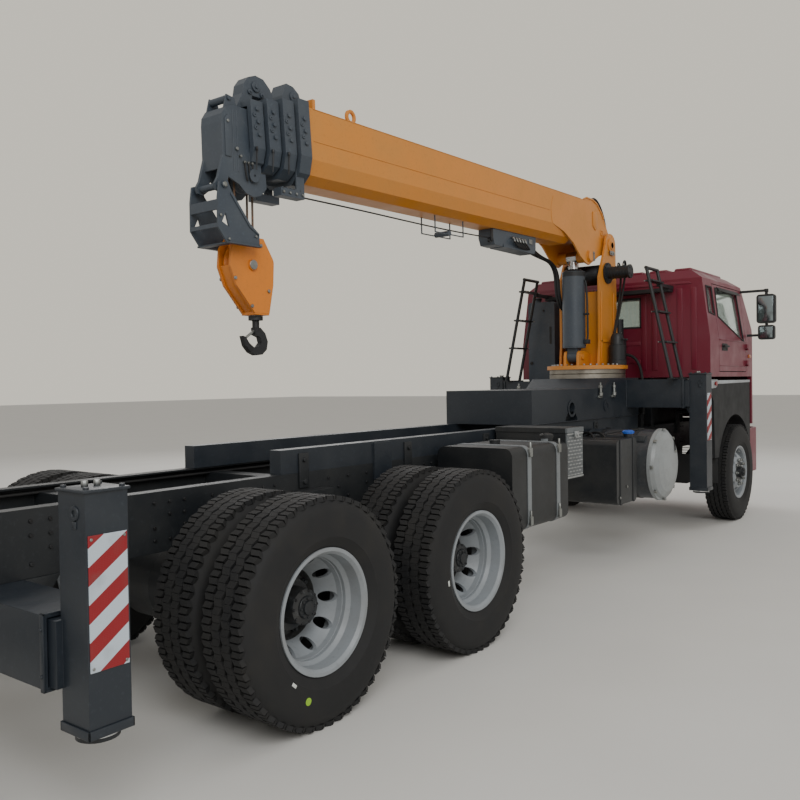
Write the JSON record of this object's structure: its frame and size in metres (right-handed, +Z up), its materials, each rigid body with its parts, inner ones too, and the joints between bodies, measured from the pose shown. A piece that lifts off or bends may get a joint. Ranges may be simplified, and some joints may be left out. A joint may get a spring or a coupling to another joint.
{
  "type": "mobile crane",
  "caption": "Truck-mounted telescopic crane: slewing straight boom behind a tilting cab, hook block at the head, box outriggers, bare chassis with twin-tyred tandem axles.",
  "frame": {"origin": "on the ground at the centre of the vehicle's bounding box", "axes": "+X towards the cab, +Y to the driver's left, +Z up; the boom is parked along -X"},
  "size_m": [10, 2.88, 3.5371],
  "materials": {
    "crane_paint": "satin",
    "navy_paint": "satin",
    "frame_paint": "satin",
    "cab_paint": "gloss",
    "silver_paint": "satin",
    "ring_steel": "machined",
    "black_plastic": "matte",
    "grey_plastic": "matte",
    "tyre_rubber": "matte",
    "window_glass": "clear",
    "lamp_lens": "clear",
    "block_paint": "satin"
  },
  "bodies": {
    "chassis": {"chassis_frame": "frame_paint", "crane_base": "navy_paint", "rear_outrigger_housing": "navy_paint", "front_axle": "frame_paint", "rear_axles": "frame_paint", "driveline": "frame_paint", "fuel_tank": "frame_paint", "battery_box": "silver_paint", "exhaust_drum": "silver_paint", "air_tanks": "frame_paint", "front_bumper": "grey_plastic", "lamps": "lamp_lens", "ladders": "frame_paint", "oil_tank": "navy_paint", "control_valve": "frame_paint", "slewing_ring": "ring_steel", "wheel_arches": "grey_plastic"},
    "cab": {"cab_shell": "cab_paint", "cab_glass": "window_glass", "cab_interior": "black_plastic", "mirrors": "black_plastic"},
    "slewing_column": {"column": "crane_paint", "winch": "navy_paint"},
    "boom": {"boom_base": "crane_paint", "rope_gear": "navy_paint"},
    "section_2": {"boom_section_2": "navy_paint"},
    "section_3": {"boom_section_3": "navy_paint"},
    "section_4": {"boom_section_4": "navy_paint"},
    "lift_tube": {"lift_barrel": "navy_paint"},
    "lift_piston": {"lift_rod": "silver_paint"},
    "hook_guide": {"guide_frame": "navy_paint"},
    "hook_sheave_block": {"hook_block": "block_paint"},
    "swivel_hook": {"hook": "frame_paint"},
    "left_door": {"door_left": "cab_paint", "door_glass_left": "window_glass"},
    "right_door": {"door_right": "cab_paint", "door_glass_right": "window_glass"},
    "outrigger_front_left_beam": {"outrigger_front_left": "navy_paint"},
    "jack_front_left_leg": {"jack_front_left": "frame_paint"},
    "outrigger_front_right_beam": {"outrigger_front_right": "navy_paint"},
    "jack_front_right_leg": {"jack_front_right": "frame_paint"},
    "outrigger_rear_left_beam": {"outrigger_rear_left": "navy_paint"},
    "jack_rear_left_leg": {"jack_rear_left": "frame_paint"},
    "outrigger_rear_right_beam": {"outrigger_rear_right": "navy_paint"},
    "jack_rear_right_leg": {"jack_rear_right": "frame_paint"},
    "knuckle_left_arm": {"knuckle_left": "frame_paint"},
    "wheel_front_left": {"tyre_front_left": "tyre_rubber", "rim_front_left": "silver_paint"},
    "wheels_drive_left": {"tyres_drive_left": "tyre_rubber", "rims_drive_left": "silver_paint"},
    "wheels_tail_left": {"tyres_tail_left": "tyre_rubber", "rims_tail_left": "silver_paint"},
    "knuckle_right_arm": {"knuckle_right": "frame_paint"},
    "wheel_front_right": {"tyre_front_right": "tyre_rubber", "rim_front_right": "silver_paint"},
    "wheels_drive_right": {"tyres_drive_right": "tyre_rubber", "rims_drive_right": "silver_paint"},
    "wheels_tail_right": {"tyres_tail_right": "tyre_rubber", "rims_tail_right": "silver_paint"}
  },
  "joints": [
    {"name": "cab_tilt", "type": "hinge", "parent": "chassis", "child": "cab", "pos_m": [4.68, 0, 1.1], "axis": [0, 1, 0], "range_deg": [0, 50]},
    {"name": "door_left_hinge", "type": "hinge", "parent": "cab", "child": "left_door", "pos_m": [4.245, 1.137, 1.9], "axis": [0, 0, -1], "range_deg": [0, 70]},
    {"name": "door_right_hinge", "type": "hinge", "parent": "cab", "child": "right_door", "pos_m": [4.245, -1.137, 1.9], "axis": [0, 0, 1], "range_deg": [0, 70]},
    {"name": "slewing", "type": "hinge", "parent": "chassis", "child": "slewing_column", "pos_m": [2.28, 0, 1.736], "axis": [0, 0, 1], "continuous": true},
    {"name": "boom_lift", "type": "hinge", "parent": "slewing_column", "child": "boom", "pos_m": [2.4, 0, 3.06], "axis": [0, 1, 0], "range_deg": [0, 70]},
    {"name": "telescope_2", "type": "slide", "parent": "boom", "child": "section_2", "axis": [-0.9997, 0, -0.0227], "range_m": [0, 3]},
    {"name": "telescope_3", "type": "slide", "parent": "section_2", "child": "section_3", "axis": [-0.9997, 0, -0.0227], "range_m": [0, 3]},
    {"name": "telescope_4", "type": "slide", "parent": "section_3", "child": "section_4", "axis": [-0.9997, 0, -0.0227], "range_m": [0, 3]},
    {"name": "lift_tube_swing", "type": "hinge", "parent": "slewing_column", "child": "lift_tube", "pos_m": [1.97, 0, 1.87], "axis": [0, 1, 0], "range_deg": [0, 5.11]},
    {"name": "lift_stroke", "type": "slide", "parent": "lift_tube", "child": "lift_piston", "axis": [0, 0, 1], "range_m": [0, 0.5127]},
    {"name": "guide_swing", "type": "hinge", "parent": "section_4", "child": "hook_guide", "pos_m": [-2.85999, 0, 2.77959], "axis": [0, 1, 0], "range_deg": [-70, 0]},
    {"name": "block_swing", "type": "hinge", "parent": "section_4", "child": "hook_sheave_block", "pos_m": [-2.60021, 0, 2.88051], "axis": [0, 1, 0], "range_deg": [-70, 0]},
    {"name": "hook_swivel", "type": "hinge", "parent": "hook_sheave_block", "child": "swivel_hook", "pos_m": [-2.51499, 0, 2.05], "axis": [0, 0, 1], "continuous": true},
    {"name": "outrigger_front_left_slide", "type": "slide", "parent": "chassis", "child": "outrigger_front_left_beam", "axis": [0, 1, 0], "range_m": [0, 0.9]},
    {"name": "jack_front_left_slide", "type": "slide", "parent": "outrigger_front_left_beam", "child": "jack_front_left_leg", "axis": [0, 0, -1], "range_m": [0, 0.46]},
    {"name": "outrigger_front_right_slide", "type": "slide", "parent": "chassis", "child": "outrigger_front_right_beam", "axis": [0, -1, 0], "range_m": [0, 0.9]},
    {"name": "jack_front_right_slide", "type": "slide", "parent": "outrigger_front_right_beam", "child": "jack_front_right_leg", "axis": [0, 0, -1], "range_m": [0, 0.46]},
    {"name": "outrigger_rear_left_slide", "type": "slide", "parent": "chassis", "child": "outrigger_rear_left_beam", "axis": [0, 1, 0], "range_m": [0, 0.9]},
    {"name": "jack_rear_left_slide", "type": "slide", "parent": "outrigger_rear_left_beam", "child": "jack_rear_left_leg", "axis": [0, 0, -1], "range_m": [0, 0.35]},
    {"name": "outrigger_rear_right_slide", "type": "slide", "parent": "chassis", "child": "outrigger_rear_right_beam", "axis": [0, -1, 0], "range_m": [0, 0.9]},
    {"name": "jack_rear_right_slide", "type": "slide", "parent": "outrigger_rear_right_beam", "child": "jack_rear_right_leg", "axis": [0, 0, -1], "range_m": [0, 0.35]},
    {"name": "steer_left", "type": "hinge", "parent": "chassis", "child": "knuckle_left_arm", "pos_m": [3.84, 0.88, 0.48], "axis": [0, 0, 1], "range_deg": [-35, 35]},
    {"name": "wheel_front_left_spin", "type": "hinge", "parent": "knuckle_left_arm", "child": "wheel_front_left", "pos_m": [3.84, 1.03, 0.545], "axis": [0, 1, 0], "continuous": true},
    {"name": "wheels_drive_left_spin", "type": "hinge", "parent": "chassis", "child": "wheels_drive_left", "pos_m": [-1.86, 0.9125, 0.545], "axis": [0, 1, 0], "continuous": true},
    {"name": "wheels_tail_left_spin", "type": "hinge", "parent": "chassis", "child": "wheels_tail_left", "pos_m": [-3.21, 0.9125, 0.545], "axis": [0, 1, 0], "continuous": true},
    {"name": "steer_right", "type": "hinge", "parent": "chassis", "child": "knuckle_right_arm", "pos_m": [3.84, -0.88, 0.48], "axis": [0, 0, 1], "range_deg": [-35, 35]},
    {"name": "wheel_front_right_spin", "type": "hinge", "parent": "knuckle_right_arm", "child": "wheel_front_right", "pos_m": [3.84, -1.03, 0.545], "axis": [0, 1, 0], "continuous": true},
    {"name": "wheels_drive_right_spin", "type": "hinge", "parent": "chassis", "child": "wheels_drive_right", "pos_m": [-1.86, -0.9125, 0.545], "axis": [0, 1, 0], "continuous": true},
    {"name": "wheels_tail_right_spin", "type": "hinge", "parent": "chassis", "child": "wheels_tail_right", "pos_m": [-3.21, -0.9125, 0.545], "axis": [0, 1, 0], "continuous": true}
  ],
  "couplings": [
    {"joint": "telescope_3", "follows": "telescope_2", "ratio": 1},
    {"joint": "telescope_4", "follows": "telescope_2", "ratio": 1},
    {"joint": "lift_tube_swing", "follows": "boom_lift", "ratio": 0.07272},
    {"joint": "lift_stroke", "follows": "boom_lift", "m_per_rad": 0.41921},
    {"joint": "guide_swing", "follows": "boom_lift", "ratio": -1},
    {"joint": "block_swing", "follows": "boom_lift", "ratio": -1},
    {"joint": "steer_right", "follows": "steer_left", "ratio": 1}
  ]
}
